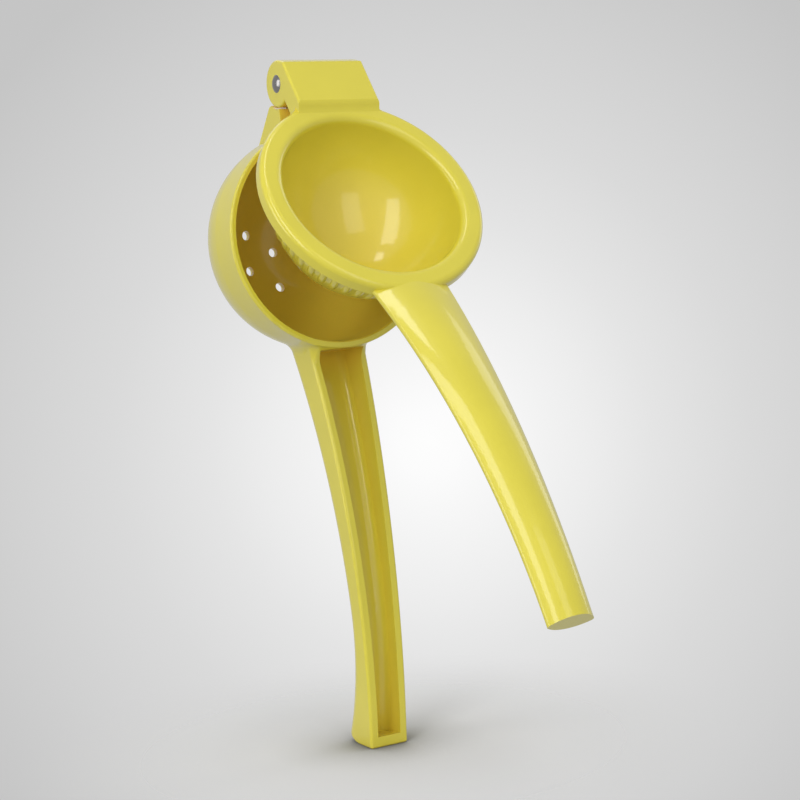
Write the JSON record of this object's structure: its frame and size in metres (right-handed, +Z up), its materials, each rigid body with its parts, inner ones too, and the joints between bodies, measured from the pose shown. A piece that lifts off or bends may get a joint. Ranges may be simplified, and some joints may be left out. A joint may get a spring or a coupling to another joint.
{
  "type": "hinged lemon squeezer",
  "caption": "Hand squeezer: a domed pressing cup swings into a strainer bowl on a steel pin, each cast in one with its long handle.",
  "frame": {"origin": "middle of the sole, the flat end of the bowl lever's handle that the squeezer stands on", "axes": "+Z up, +X along the hinge pin, -Y towards the opened press lever; the strainer bowl opens towards -Y"},
  "size_m": [0.075, 0.1741, 0.2245],
  "materials": {
    "yellow_coating": "satin enamel on a light-alloy casting",
    "pin_steel": "polished"
  },
  "bodies": {
    "bowl_side": {"bowl_lever": "yellow_coating"},
    "press_side": {"press_lever": "yellow_coating", "hinge_pin": "pin_steel"}
  },
  "joints": [
    {"name": "press_swing", "type": "hinge", "parent": "bowl_side", "child": "press_side", "pos_m": [0, 0.01652, 0.2169], "axis": [-1, 0, 0], "range_deg": [-30, 115]}
  ]
}
